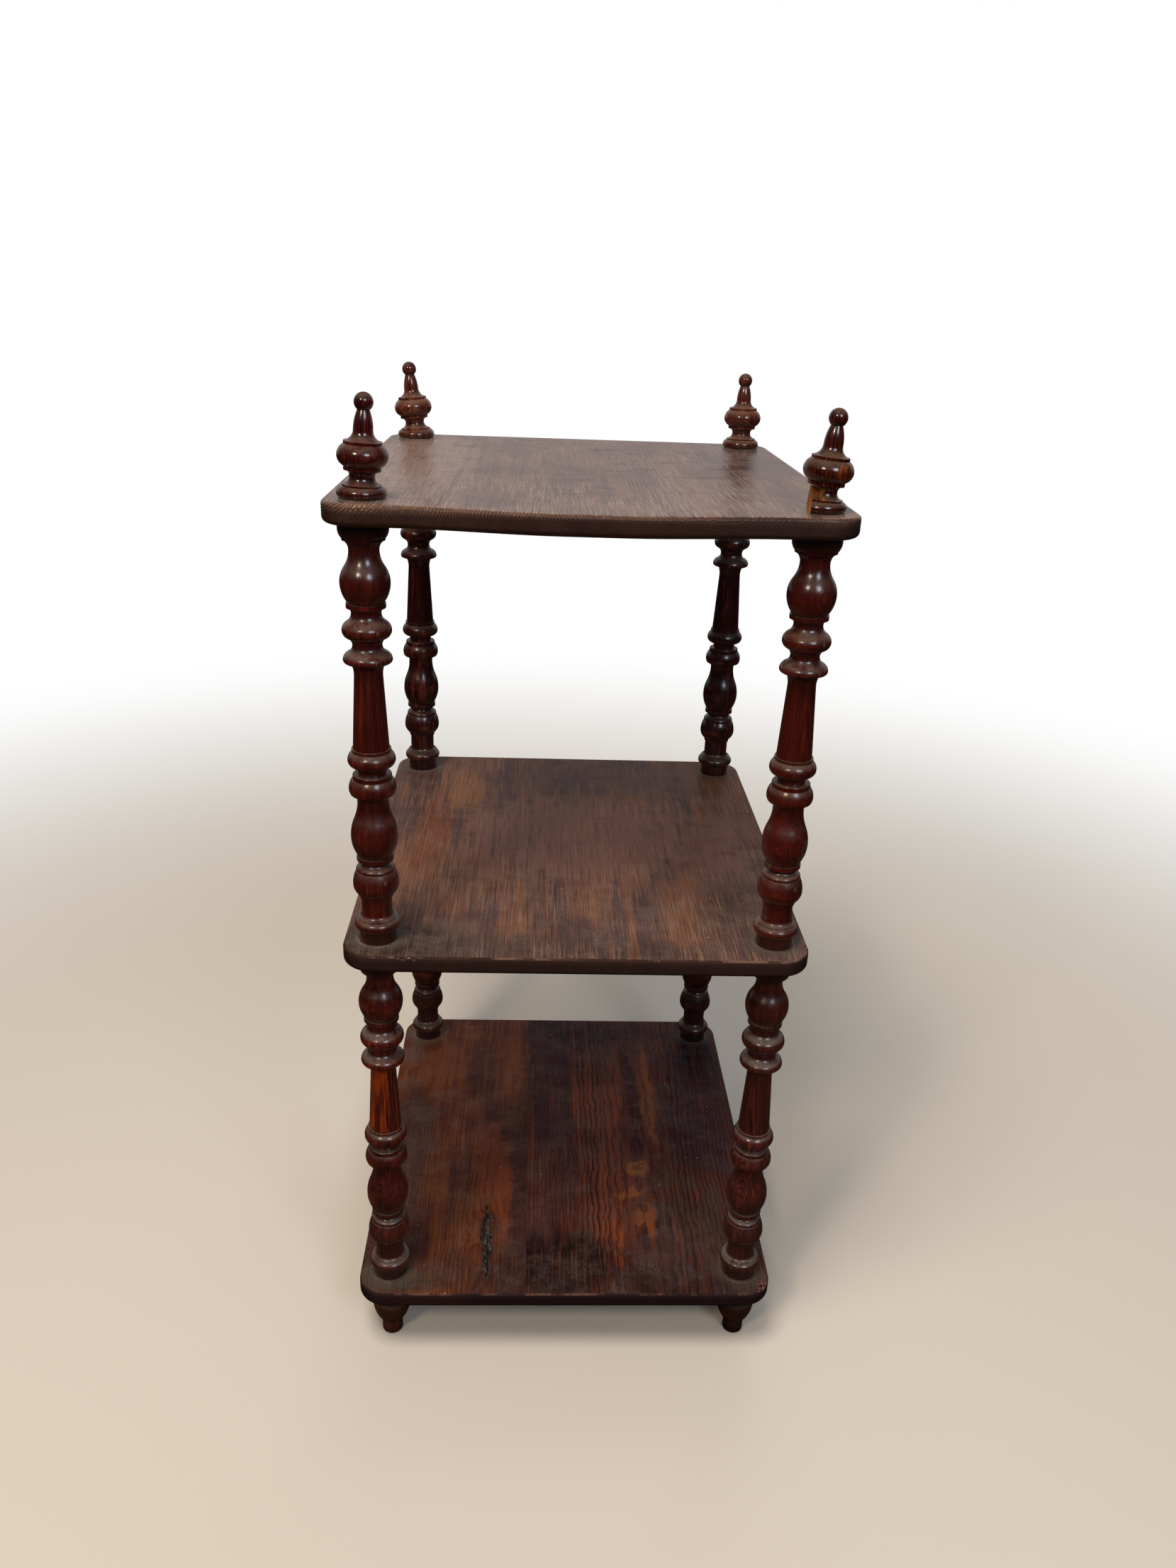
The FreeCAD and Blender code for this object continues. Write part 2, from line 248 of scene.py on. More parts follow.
def new_material(name):
    material = bpy.data.materials.new(name)
    material.use_nodes = True
    return material, Graph(material.node_tree)


def srgb(red, green, blue):
    """A colour named in display values from 0 to 255."""
    def linear(value):
        value /= 255.0
        return value / 12.92 if value <= 0.04045 else ((value + 0.055) / 1.055) ** 2.4
    return (linear(red), linear(green), linear(blue), 1.0)


def ring_figure(graph, distance, spacing, seed):
    """Growth rings by distance from the pith: how much of each is late wood, and its own tone."""
    drift = graph.noise(distance * 60.0, 0.0, 0.0, detail=3.0, seed=seed)
    phase = distance / spacing + 2.6 * drift
    through = graph.fraction(phase)
    late = graph.step(through, 0.34, 0.88) * graph.step(through, 1.0, 0.91)
    tone = graph.noise(graph.math("FLOOR", phase) * 0.73, 0.0, 0.0, detail=0.0, seed=seed + 3.0)
    return late, tone


# ---------------------------------------------------------------- turned and varnished wood
SHAFT_LOW = 0.166              # heights on a post, from the shelf that it stands on
SHAFT_HIGH = 0.238
SHAFT_FADE = 0.006
SHADE_UNDER_SHELF_FROM = 0.322
WIDEST_R = 0.0187              # a little over the widest turned radius
ORANGE_PINE = srgb(142, 52, 14)
FOOT_SHADE_TINT = srgb(44, 30, 27)


def turned_figure(graph, wood, look):
    """The stained wood's own colour, and how much of it is late wood."""
    mix, step, noise = graph.mix, graph.step, graph.noise
    dark, plain, light, _ = look["tones"]
    u, v, z, seed = wood.u, wood.v, wood.z, wood.seed
    sway = noise(u * 9.0, v * 9.0, z * 5.0, seed=seed) - 0.5
    ripple = noise(u * 60.0, v * 60.0, z * 22.0, seed=seed + 7.0) - 0.5
    off_u = u - look["pith"][0] + sway * look["sway"]
    off_v = v - look["pith"][1] + sway * look["sway"] * 0.6
    distance = graph.root(off_u * off_u + off_v * off_v) + ripple * look["sway"] * 0.09
    late, _ = ring_figure(graph, distance, look["spacing"], seed)
    grain = look["streak"]
    streak = noise(u * grain, v * grain, z * 7.0, detail=4.0, rough=0.65, seed=seed + 2.0)
    cloud = noise(u * 32.0, v * 32.0, z * 16.0, detail=3.0, seed=seed + 4.0)
    band = noise(u * 120.0, v * 120.0, z * 3.0, seed=seed + 8.0)

    visible = graph.clamped(step(cloud, 0.62, 0.40) * 0.6 + look["clear"])
    stripes = (streak - 0.44) * look["stripes"]
    color = mix(graph.clamped(late * look["late"] * visible + stripes), plain, dark)
    glow = step(streak, 0.46, 0.32) * (1.0 - late * 0.8)
    color = mix(graph.clamped(glow * look["glow"]), color, light)
    shaft = step(wood.h, SHAFT_LOW, SHAFT_LOW + SHAFT_FADE)
    shaft = shaft * step(wood.h, SHAFT_HIGH, SHAFT_HIGH - SHAFT_FADE) * look["shaft"]
    color = mix(shaft * step(streak * 0.5 + band * 0.5, 0.53, 0.43), color, ORANGE_PINE)
    color = mix(step(cloud, 0.50, 0.72) * look["cloud"], color, dark)
    color = mix(step(wood.fibre, 0.48, 0.72) * 0.40, color, dark)
    return color, late


def turned_scars(graph, wood, look, color):
    """Places where the varnish is rubbed through to rough, dusty wood."""
    dark, _, _, dusty = look["tones"]
    rough_wood = graph.mix(graph.step(wood.fine, 0.45, 0.62), dark, dusty)
    for turn, at_h, wide, tall in look["scars"]:
        ahead = wood.u * math.cos(turn) + wood.v * math.sin(turn)
        beside = wood.v * math.cos(turn) - wood.u * math.sin(turn)
        hurt = graph.hill(beside, 0.0, wide) * graph.hill(wood.h, at_h, tall)
        hurt = hurt * graph.step(ahead, 0.0, 0.004)
        hurt = hurt + (wood.patch - 0.5) * 1.6 + (wood.fine - 0.5) * 0.5
        color = graph.mix(graph.step(hurt, 0.30, 0.52) * 0.8, color, rough_wood)
    return color


def turned_wood(name, axis, foot, seed, look):
    """Varnished turned pine whose rings lie about an upright pith beside the lathe axis."""
    material, graph = new_material(name)
    mix, step, noise = graph.mix, graph.step, graph.noise
    dark, _, light, dusty = look["tones"]
    x, y, z = graph.place()
    u = x - axis[0]
    v = y - axis[1]
    h = z - foot
    fibre = noise(u * 900.0, v * 900.0, z * 26.0, detail=3.0, rough=0.6, seed=seed + 1.0)
    patch = noise(u * 70.0, v * 70.0, z * 90.0, detail=4.0, rough=0.65, seed=seed + 5.0)
    fine = noise(u * 700.0, v * 700.0, z * 700.0, seed=seed + 6.0)
    wood = SimpleNamespace(u=u, v=v, z=z, h=h, seed=seed, fibre=fibre, patch=patch, fine=fine)
    color, late = turned_figure(graph, wood, look)

    # Painted shade: the lower posts darken towards their foot, and every turning darkens in its lowest
    # 13 mm, where it meets what it stands on
    color = mix(step(h, 0.16, 0.0) * look["foot_shade"], color, FOOT_SHADE_TINT)
    color = mix(step(h, 0.013, 0.002) * 0.55, color, dark)
    # Painted shade on a post's top collar, under the shelf above it
    shade_under_shelf = step(h, SHADE_UNDER_SHELF_FROM, SHADE_UNDER_SHELF_FROM + 0.010)
    color = mix(shade_under_shelf * 0.75, color, dark)
    color = turned_scars(graph, wood, look, color)

    # Darker recesses, partly grime and partly painted shade; dust on the ledges, rubbed widest places
    # and small nicks
    upward = graph.facing()[2]
    radius = graph.root(u * u + v * v)
    recess = step(radius, look["recess"], look["recess"] - 0.0035)
    recess = recess * step(graph.absolute(upward), 0.12, 0.45)
    color = mix(recess * 0.65, color, dark)
    settled = step(upward, look["dust_on"], 0.85) * step(patch, 0.25, 0.56)
    dirt = graph.clamped(settled * look["dust"]) * (0.55 + 0.45 * step(fine, 0.25, 0.60))
    color = mix(dirt, color, dusty)
    worn = step(radius, WIDEST_R - 0.0008, WIDEST_R) * step(patch, 0.48, 0.66) * (1.0 - shade_under_shelf)
    color = mix(worn * 0.30, color, light)
    spot, chance = graph.cells(u * 95.0, v * 95.0, z * 60.0)
    nick = step(spot, 0.16, 0.07) * step(chance, 0.80, 0.82)
    color = mix(nick * 0.5, color, dusty)

    rough = look["rough"] + dirt * 0.36 + (patch - 0.5) * 0.16 + nick * 0.2
    height = late * 0.10 + fibre * 0.16 + patch * 0.55 - nick * 0.5 + dirt * fine * 0.25
    graph.finish(color, graph.clamped(rough), height, 0.00035, coat=0.7,
                 coat_rough=look["sheen"], specular=0.4)
    return material


# ---------------------------------------------------------------- shelf boards
POST_FOOT_R = 0.018            # a post's footing, where dirt gathers on the shelf
BARE_ROUND = srgb(122, 76, 52)
ROUND_OUTLINE = srgb(30, 14, 11)
CRACK = srgb(12, 7, 6)
FLECK = srgb(196, 186, 172)


def board_wood(graph, top, seed, pith, look):
    """What a board's colour, gloss and relief share: places, normals, rings and noises."""
    noise = graph.noise
    x, y, z = graph.place()
    sideways, endways, upward = graph.facing()
    sway = noise(x * 5.0, y * 1.8, z * 6.0, seed=seed) - 0.5
    wave = noise(x * 26.0, y * 19.0, z * 26.0, detail=3.0, seed=seed + 7.0) - 0.5
    ripple = noise(x * 70.0, y * 55.0, z * 70.0, seed=seed + 8.0) - 0.5
    off_x = x - pith[0] + sway * look["sway"]
    off_z = z - top - pith[1]
    distance = graph.root(off_x * off_x + off_z * off_z)
    distance = distance + wave * look["wave"] + ripple * look["ripple"]
    for at_x, at_y, wide, long, push in look["knots"]:
        distance = distance + graph.hill(x, at_x, wide) * graph.hill(y, at_y, long) * push
    late, tone = ring_figure(graph, distance, look["spacing"], seed)
    return SimpleNamespace(
        x=x, y=y, z=z, top=top, seed=seed, wave=wave, ripple=ripple, distance=distance,
        sideways=graph.absolute(sideways), endways=graph.absolute(endways), upward=upward,
        flat=graph.step(upward, 0.80, 0.97), late=late, tone=tone,
        fibre=noise(x * 800.0, y * 20.0, z * 800.0, detail=3.0, rough=0.65, seed=seed + 1.0),
        streak=noise(x * 110.0, y * 3.5, z * 110.0, detail=4.0, rough=0.65, seed=seed + 2.0),
        broad=noise(x * 22.0, y * 3.0, z * 22.0, detail=3.0, rough=0.55, seed=seed + 11.0),
        cloud=noise(x * 13.0, y * 9.0, z * 13.0, detail=5.0, rough=0.6, seed=seed + 4.0),
        smudge=noise(x * 30.0, y * 38.0, z * 10.0, detail=5.0, rough=0.68, seed=seed + 5.0),
        smear=noise(x * 26.0, y * 64.0, z * 26.0, detail=5.0, rough=0.66, seed=seed + 13.0),
        fine=noise(x * 560.0, y * 420.0, z * 520.0, detail=3.0, rough=0.7, seed=seed + 6.0),
    )


def board_figure(graph, wood, look):
    """The wood's own colour with its patches, growth lines and fibres; also the lines alone."""
    mix, step = graph.mix, graph.step
    cool, plain, warm, _ = look["tones"]
    zone = wood.cloud * 0.7 + wood.broad * 0.5 + (wood.streak - 0.5) * 0.35
    color = mix(step(zone, 0.50, 0.64), cool, plain)
    color = mix(step(zone + (wood.smudge - 0.5) * 0.3, 0.62, 0.78) * look["amber"], color, warm)
    band = step(wood.broad + (wood.streak - 0.5) * 0.5, 0.50, 0.34)
    color = mix(band * look["bands"], color, cool)

    ragged = (wood.smudge - 0.5) * 1.3 + (wood.streak - 0.5) * 0.9 + (wood.fine - 0.5) * 0.3
    across = wood.x + wood.wave * 0.022 + wood.ripple * 0.006
    along = wood.y + (wood.broad - 0.5) * 0.03 + wood.ripple * 0.02
    for at_x, at_y, wide, long, tint, amount in look["patches"]:
        patch = graph.hill(across, at_x, wide) * graph.hill(along, at_y, long)
        color = mix(step(patch + ragged, 0.25, 0.70) * amount, color, tint)

    visible = step(wood.cloud * 0.6 + wood.broad * 0.6 + (wood.tone - 0.5) * 0.5, 0.42, 0.74)
    for at_x, wide, amount in look["clear"]:
        visible = graph.most(visible * 0.8, graph.hill(wood.x, at_x, wide) * amount)
    lines = graph.clamped(wood.late * look["late"] * (visible * 0.85 + 0.15))
    color = mix(lines, color, look["line"])
    color = mix(step(wood.streak, 0.46, 0.30) * look["streaks"], color, cool)
    color = mix(step(wood.streak, 0.53, 0.68) * look["streaks"] * 0.8, color, warm)
    color = mix(step(wood.fibre, 0.50, 0.72) * look["fibre"], color, look["pore"])
    color = mix(step(wood.fibre, 0.46, 0.30) * look["fibre"] * 0.6, color, warm)
    return color, lines


def board_prints(graph, wood, look, color):
    """Bare rounds, outlined on their left, where a turning has moved off its old place."""
    for at_x, at_y, radius in look["prints"]:
        off_x = wood.x - at_x
        off_y = wood.y - at_y
        off = graph.root(off_x * off_x + off_y * off_y) + (wood.smudge - 0.5) * 0.0012
        color = graph.mix(graph.step(off, radius, radius - 0.0006) * 0.85, color, BARE_ROUND)
        outline = graph.step(graph.absolute(off - radius), 0.0016, 0.0006)
        outline = outline * graph.step(wood.x, at_x, at_x - 0.010)
        color = graph.mix(outline, color, ROUND_OUTLINE)
    return color


def board_ends(graph, wood, look, color):
    """End grain on the front and rear edges: ring arcs, raised and pale along the crest."""
    mix, step = graph.mix, graph.step
    end = step(wood.endways, 0.30, 0.62)
    crest = step(wood.z, wood.top - 0.0080, wood.top - 0.0020)
    arcs = graph.fraction(wood.distance * look["hatch"] + wood.ripple * 2.0)
    arcs = step(arcs, 0.35, 0.75) * step(arcs, 1.0, 0.9)
    arcs = arcs * step(wood.smudge + wood.fibre, 0.84, 1.08)
    arcs = arcs * look["etch"] * (crest * 0.93 + 0.07)
    weathered = graph.clamped(arcs * 0.8 + crest * 0.22)
    weathered = mix(weathered, look["end_dark"], look["end_light"])
    weathered = mix(step(wood.smudge, 0.42, 0.62) * 0.4, weathered, look["end_dark"])
    weathered = mix(step(wood.fine, 0.50, 0.72) * 0.3, weathered, look["pore"])
    for at_x, wide, tint, amount, everywhere in look["ends"]:
        there = graph.hill(wood.x + wood.wave * 0.05, at_x, wide)
        there = there * graph.clamped(arcs * crest + everywhere) * amount
        weathered = mix(there, weathered, tint)
    for at_x, low, high in look["checks"]:
        crooked = graph.absolute(wood.x - at_x + (wood.smudge - 0.5) * 0.012)
        gap = step(crooked, 0.0007, 0.0002)
        gap = gap * step(wood.z, wood.top - low - 0.002, wood.top - low)
        gap = gap * step(wood.z, wood.top - high, wood.top - high - 0.002)
        weathered = mix(gap, weathered, CRACK)
    color = mix(end * 0.9, color, weathered)
    color = mix(step(wood.sideways, 0.55, 0.85) * 0.5, color, look["end_dark"])
    return color, end, arcs


def board_dirt(graph, wood, look, color, lines):
    """Stains, dust and pale raised fibres on the flat top; also the stains and dust alone."""
    mix, step = graph.mix, graph.step
    stain = step(wood.smear, 0.56, 0.69) * wood.flat
    color = mix(stain * look["stain"], color, look["pore"])
    dust = graph.clamped(step(wood.smudge, 0.40, 0.66) * look["dust"] + look["veil"])
    dust = wood.flat * dust * (0.30 + 1.5 * step(wood.fine, 0.36, 0.66))
    dust = graph.clamped(dust * (1.0 - lines * look["show"]))
    color = mix(dust, color, look["tones"][3])
    combed = step(wood.fibre, 0.47, 0.38) * step(wood.cloud, 0.40, 0.56) * wood.flat
    combed = combed * (0.7 + step(wood.y, -0.05, -0.18) * 0.4)
    color = mix(combed * look["combed"], color, look["rim"])
    return color, stain, dust


def board_round_posts(graph, wood, look, color):
    """Grime round each post's footing, and a pale line close to it."""
    step = graph.step
    off_x = graph.absolute(wood.x) - POST_X
    off_y = graph.absolute(wood.y) - POST_Y
    reach = graph.root(off_x * off_x + off_y * off_y) + (wood.smudge - 0.5) * 0.010
    halo = step(reach, POST_FOOT_R + 0.011, POST_FOOT_R) * wood.flat
    color = graph.mix(halo * look["halo"] * (0.5 + wood.fine), color, look["grime"])
    rim = step(reach, POST_FOOT_R - 0.0015, POST_FOOT_R - 0.0002)
    rim = rim * step(reach, POST_FOOT_R + 0.0012, POST_FOOT_R + 0.0002) * wood.flat
    rim = rim * step(wood.smudge, 0.40, 0.6) * look["halo"] * 0.6
    return graph.mix(rim, color, look["rim"])


def board_arris(graph, wood, look, color):
    """The rounded upper edge: pale in places, partly rubbed and partly a painted highlight, and dark in
    others.
    """
    arris = graph.step(wood.upward, 0.30, 0.62) * graph.step(wood.upward, 0.985, 0.80)
    rub_highlight = graph.noise(wood.x * 30.0, wood.y * 30.0, wood.z * 80.0, detail=5.0, rough=0.7,
                      seed=wood.seed + 9.0)
    color = graph.mix(arris * graph.step(rub_highlight, 0.48, 0.62) * look["arris"], color, look["rub_highlight"])
    return graph.mix(arris * graph.step(rub_highlight, 0.46, 0.34) * 0.5, color, look["pore"])


def board_marks(graph, wood, look, color):
    """Fine scratches two ways and pale flecks; also how far they sink and stand."""
    step = graph.step
    slant = wood.x * 0.82 + wood.y * 0.57
    cross = wood.y * 0.82 - wood.x * 0.57
    first = graph.noise(slant * 26.0, cross * 420.0, wood.z, detail=1.0, seed=wood.seed + 12.0)
    second = graph.noise(cross * 19.0 + wood.x * 30.0, slant * 390.0, wood.z, detail=1.0,
                         seed=wood.seed + 10.0)
    marks = graph.most(step(first, 0.77, 0.83), step(second, 0.77, 0.83)) * wood.flat
    marks = marks * step(wood.smudge, 0.47, 0.56)
    color = graph.mix(marks * look["marks"], color, look["rim"])
    speck, chance = graph.cells(wood.x * 90.0, wood.y * 90.0, wood.z * 90.0)
    flecks = step(speck, 0.085, 0.045) * step(chance, 0.88, 0.89) * wood.flat
    color = graph.mix(flecks * look["flecks"], color, FLECK)
    return color, flecks * 0.3 - marks * 0.35


def shelf_wood(name, top, seed, pith, look):
    """A pine board whose pith runs front to back; rings show as lines on top, arcs on the ends."""
    material, graph = new_material(name)
    wood = board_wood(graph, top, seed, pith, look)
    color, lines = board_figure(graph, wood, look)
    color = board_prints(graph, wood, look, color)
    color, end, arcs = board_ends(graph, wood, look, color)
    color, stain, dust = board_dirt(graph, wood, look, color, lines)
    color = board_round_posts(graph, wood, look, color)
    color = board_arris(graph, wood, look, color)
    color, marks = board_marks(graph, wood, look, color)
    rough = look["rough"] + dust * 0.10 + (wood.smudge - 0.5) * 0.16 + stain * 0.1 + end * 0.2
    height = lines * look["emboss"] * (1.0 - end) + arcs * end * 0.35 + marks
    height = height + wood.fibre * 0.25 + wood.smudge * 0.4 + wood.fine * 0.12
    graph.finish(color, graph.clamped(rough), height, 0.0004, specular=look["specular"])
    return material


# ---------------------------------------------------------------- looks of the turnings
# Tones are dark streaks, the body of the wood, worn or amber wood, and dust.
POST_LOOK = {
    "tones": (srgb(22, 4, 2), srgb(72, 17, 9), srgb(114, 42, 24), srgb(96, 78, 66)),
    "pith": (0.045, 0.01),     # from the lathe axis
    "spacing": 0.0016,         # between growth rings
    "sway": 0.020,             # how far the rings wander
    "late": 0.5, "clear": 0.4, "streak": 260.0, "stripes": 2.6, "glow": 0.45, "cloud": 0.5,
    "shaft": 0.0,              # how far the tapered shaft has worn to orange
    "dust": 0.75, "dust_on": 0.12, "foot_shade": 0.0, "recess": 0.0135, "rough": 0.26, "sheen": 0.19,
    "scars": (),               # each: turn about the axis, height, half width, half height
}
FINIAL_LOOK = dict(
    POST_LOOK, late=0.9, glow=0.7, spacing=0.0026, dust=0.6, cloud=0.6, rough=0.18,
    recess=0.011, streak=120.0, sheen=0.11,
    tones=(srgb(24, 3, 2), srgb(70, 20, 10), srgb(146, 70, 26), srgb(96, 78, 62)),
)
LOWER_LOOK = dict(
    POST_LOOK, dust=0.75, dust_on=0.34, foot_shade=0.45,
    tones=(srgb(24, 6, 5), srgb(84, 25, 15), srgb(124, 50, 26), srgb(100, 86, 74)),
)
FOOT_LOOK = dict(
    POST_LOOK, rough=0.34,
    tones=(srgb(20, 8, 6), srgb(50, 21, 14), srgb(88, 50, 32), srgb(80, 66, 56)),
)
LOOK_OF = {
    "foot": FOOT_LOOK, "lower_post": LOWER_LOOK, "upper_post": POST_LOOK, "finial": FINIAL_LOOK,
}

# What the turnings at the rear change in their kind's look; the rear posts' darker tones are painted
# shade
REAR_POST_SHADED = {
    "tones": (srgb(12, 2, 3), srgb(52, 11, 8), srgb(122, 50, 30), srgb(84, 66, 58)),
    "glow": 0.8,
}
REAR_FINIAL = {
    "tones": (srgb(38, 11, 7), srgb(96, 42, 28), srgb(148, 80, 48), srgb(112, 90, 74)),
    "streak": 240.0, "spacing": 0.0019, "late": 0.7,
}
REAR_CHANGES = {
    "foot": {}, "lower_post": REAR_POST_SHADED, "upper_post": REAR_POST_SHADED, "finial": REAR_FINIAL,
}

# The turnings at the front that the photograph shows well enough to have looks of their own
OWN_LOOK = {
    "lower_post_front_left": dict(
        LOWER_LOOK, pith=(-0.012, -0.036), late=0.55, clear=0.7, sway=0.013, spacing=0.0023,
        shaft=1.0,
    ),
    "lower_post_front_right": dict(
        LOWER_LOOK, pith=(-0.022, -0.032), late=0.65, clear=0.7, sway=0.014, spacing=0.0019,
        dust=0.8, dust_on=0.40,
        tones=(srgb(30, 10, 9), srgb(74, 27, 19), srgb(112, 54, 36), srgb(104, 90, 80)),
    ),
    "upper_post_front_right": dict(
        POST_LOOK, pith=(0.012, -0.036), clear=0.9, sway=0.011, late=0.45, glow=0.18,
        stripes=1.3, spacing=0.0021, scars=((-0.55, 0.088, 0.007, 0.011),),
    ),
    "upper_post_front_left": dict(POST_LOOK, pith=(-0.055, 0.008)),
    "finial_front_left": dict(
        FINIAL_LOOK, pith=(0.060, 0.010), streak=230.0, stripes=3.2, glow=0.5, spacing=0.0019,
        tones=(srgb(22, 3, 3), srgb(72, 17, 11), srgb(122, 50, 28), srgb(96, 76, 64)),
    ),
    "foot_front_left": dict(
        FOOT_LOOK,
        tones=(srgb(40, 16, 10), srgb(82, 42, 26), srgb(116, 72, 46), srgb(96, 80, 68)),
    ),
}

rng = random.Random(7)


def dress(name, material):
    """Gives a CAD node its material."""
    node = nodes[name]
    node.data.materials.clear()
    node.data.materials.append(material)


for part, foot in FOOT_OF.items():
    for corner, axis in CORNERS.items():
        name = part + "_" + corner
        seed = rng.uniform(0.0, 50.0)
        side = rng.uniform(0.0, 2.0 * math.pi)
        far = rng.uniform(0.035, 0.06)
        look = dict(LOOK_OF[part], pith=(far * math.cos(side), far * math.sin(side)))
        if "rear" in corner:
            look.update(REAR_CHANGES[part])
        look = OWN_LOOK.get(name, look)
        dress(name, turned_wood("varnish_" + name, axis, foot, seed, look))

# ---------------------------------------------------------------- looks of the shelves
# Tones are cool wood, plain wood, warm wood and dust.
BASE_LOOK = dict(
    # Rings. A knot is x, y, half width, half length and how far it pushes the rings aside.
    spacing=0.0022, sway=0.05, wave=0.006, ripple=0.0016, knots=(),
    # Lines, and where they are clear: x, half width and how much.
    late=0.7, show=0.5, clear=(), emboss=0.5,
    # Colour. A patch is x, y, half width, half length, tint and amount.
    bands=0.5, amber=0.7, streaks=0.4, fibre=0.5, pore=srgb(34, 18, 15), patches=(),
    # End grain. An end is x, half width, tint, amount and how much of it is off the arcs;
    # a check is a crack's x and the depths that it runs between.
    hatch=620.0, etch=0.3, end_dark=srgb(40, 22, 17), end_light=srgb(84, 58, 46), ends=(),
    checks=(),
    # Dirt and wear, and a painted highlight on the rounded edge. A print is x, y and radius.
    stain=0.25, dust=0.55, veil=0.12, combed=0.2, halo=0.5, grime=srgb(78, 72, 60),
    rim=srgb(150, 124, 104), rub_highlight=srgb(112, 72, 50), arris=0.5, marks=0.15, flecks=0.5,
    prints=(),
    # Gloss
    rough=0.44, specular=0.22,
)
TOP_LOOK = dict(
    BASE_LOOK,
    tones=(srgb(66, 48, 47), srgb(92, 65, 54), srgb(114, 80, 60), srgb(118, 100, 90)),
    line=srgb(142, 118, 104), pore=srgb(42, 28, 25), grime=srgb(78, 78, 66),
    rim=srgb(172, 148, 132), rub_highlight=srgb(122, 86, 64),
    spacing=0.0019, wave=0.0022, late=0.6, show=0.0, emboss=0.7, amber=0.5, fibre=0.8,
    stain=0.4, dust=0.5, veil=0.08, combed=0.32, arris=0.3, marks=0.1, rough=0.19,
    specular=0.34, hatch=470.0, etch=1.0, end_dark=srgb(36, 14, 10),
    end_light=srgb(130, 96, 78),
    ends=(
        # Pale spots on the ring crests at the left of the front edge, partly wear and partly a painted
        # glint
        (-0.158, 0.012, srgb(196, 150, 108), 0.8, 0.0),
        (0.130, 0.060, srgb(32, 16, 16), 1.0, 0.6),
    ),
    patches=(
        (-0.150, 0.02, 0.060, 0.24, srgb(148, 122, 108), 0.7),
        (0.150, 0.12, 0.05, 0.10, srgb(56, 44, 42), 0.6),
        (-0.060, 0.13, 0.012, 0.12, srgb(60, 48, 48), 0.6),
        (-0.020, -0.115, 0.030, 0.010, srgb(50, 36, 34), 0.7),
        (0.045, 0.00, 0.012, 0.03, srgb(54, 44, 42), 0.7),
        (-0.095, -0.185, 0.030, 0.015, srgb(78, 78, 68), 0.5),
    ),
)
TOP_RIGHT_LOOK = dict(
    TOP_LOOK, etch=0.8, prints=((0.1645, -0.192, 0.0192),), checks=((0.1500, 0.0125, 0.0035),),
)
MIDDLE_LOOK = dict(
    BASE_LOOK,
    tones=(srgb(78, 57, 54), srgb(110, 72, 54), srgb(132, 84, 56), srgb(118, 96, 84)),
    line=srgb(66, 38, 32), rub_highlight=srgb(128, 96, 78), end_dark=srgb(38, 22, 19),
    end_light=srgb(78, 52, 42),
    late=0.5, bands=0.8, fibre=0.7, stain=0.1, dust=0.30, veil=0.0, combed=0.32, arris=0.6,
    specular=0.16,
    clear=((-0.148, 0.008, 1.6), (-0.020, 0.020, 0.9)),
    patches=(
        (-0.135, 0.03, 0.016, 0.10, srgb(122, 62, 38), 0.6),
        (-0.110, 0.12, 0.022, 0.06, srgb(140, 90, 52), 0.9),
        (-0.148, -0.030, 0.008, 0.045, srgb(132, 72, 46), 0.7),
        (-0.150, -0.200, 0.075, 0.032, srgb(40, 30, 26), 0.95),
        (-0.090, 0.005, 0.02, 0.018, srgb(50, 34, 32), 0.8),
        (-0.068, 0.14, 0.012, 0.10, srgb(66, 46, 54), 0.7),
        (0.010, 0.01, 0.13, 0.11, srgb(134, 90, 74), 0.85),
        (0.140, -0.01, 0.040, 0.12, srgb(122, 84, 72), 0.75),
        (0.150, -0.15, 0.060, 0.08, srgb(70, 50, 42), 0.85),
        (0.000, -0.215, 0.150, 0.040, srgb(64, 47, 42), 0.8),
        (0.030, 0.17, 0.12, 0.06, srgb(84, 62, 62), 0.7),
        (-0.100, -0.20, 0.06, 0.02, srgb(70, 58, 50), 0.6),
    ),
)
RED_EARTH = srgb(118, 54, 27)
PURPLE = srgb(60, 23, 30)
# Painted shadow colour for the rear of the bottom right board
REAR_SHADOW_TINT = srgb(30, 20, 30)
BOTTOM_LOOK = dict(
    BASE_LOOK,
    tones=(srgb(60, 32, 28), srgb(84, 42, 26), srgb(116, 60, 28), srgb(88, 68, 58)),
    line=srgb(30, 13, 13), rub_highlight=srgb(108, 74, 62), end_dark=srgb(30, 20, 21),
    end_light=srgb(62, 46, 43),
    spacing=0.0026, wave=0.007, late=0.8, emboss=0.25, amber=0.9, dust=0.34, veil=0.0,
    combed=0.06, halo=0.35, arris=0.75, marks=0.08, rough=0.46, specular=0.10,
)
BOTTOM_LEFT_LOOK = dict(
    BOTTOM_LOOK, late=0.6,
    clear=((-0.112, 0.012, 0.9),),
    knots=((-0.076, -0.157, 0.012, 0.045, 0.008),),
    patches=(
        (-0.165, -0.01, 0.030, 0.12, srgb(62, 44, 40), 0.7),
        (-0.165, -0.204, 0.050, 0.016, srgb(68, 61, 52), 0.9),
        (-0.176, 0.17, 0.014, 0.04, srgb(84, 72, 64), 0.6),
        (-0.072, -0.07, 0.020, 0.09, RED_EARTH, 0.8),
        (-0.0765, -0.155, 0.008, 0.045, srgb(40, 22, 18), 0.9),
        (-0.066, 0.15, 0.022, 0.10, RED_EARTH, 0.5),
        (-0.140, 0.12, 0.030, 0.06, srgb(108, 56, 28), 0.7),
        (-0.040, -0.20, 0.050, 0.03, srgb(46, 26, 22), 0.9),
        (-0.110, -0.19, 0.030, 0.03, srgb(66, 38, 28), 0.8),
        (-0.110, -0.13, 0.030, 0.04, srgb(110, 60, 32), 0.4),
    ),
)
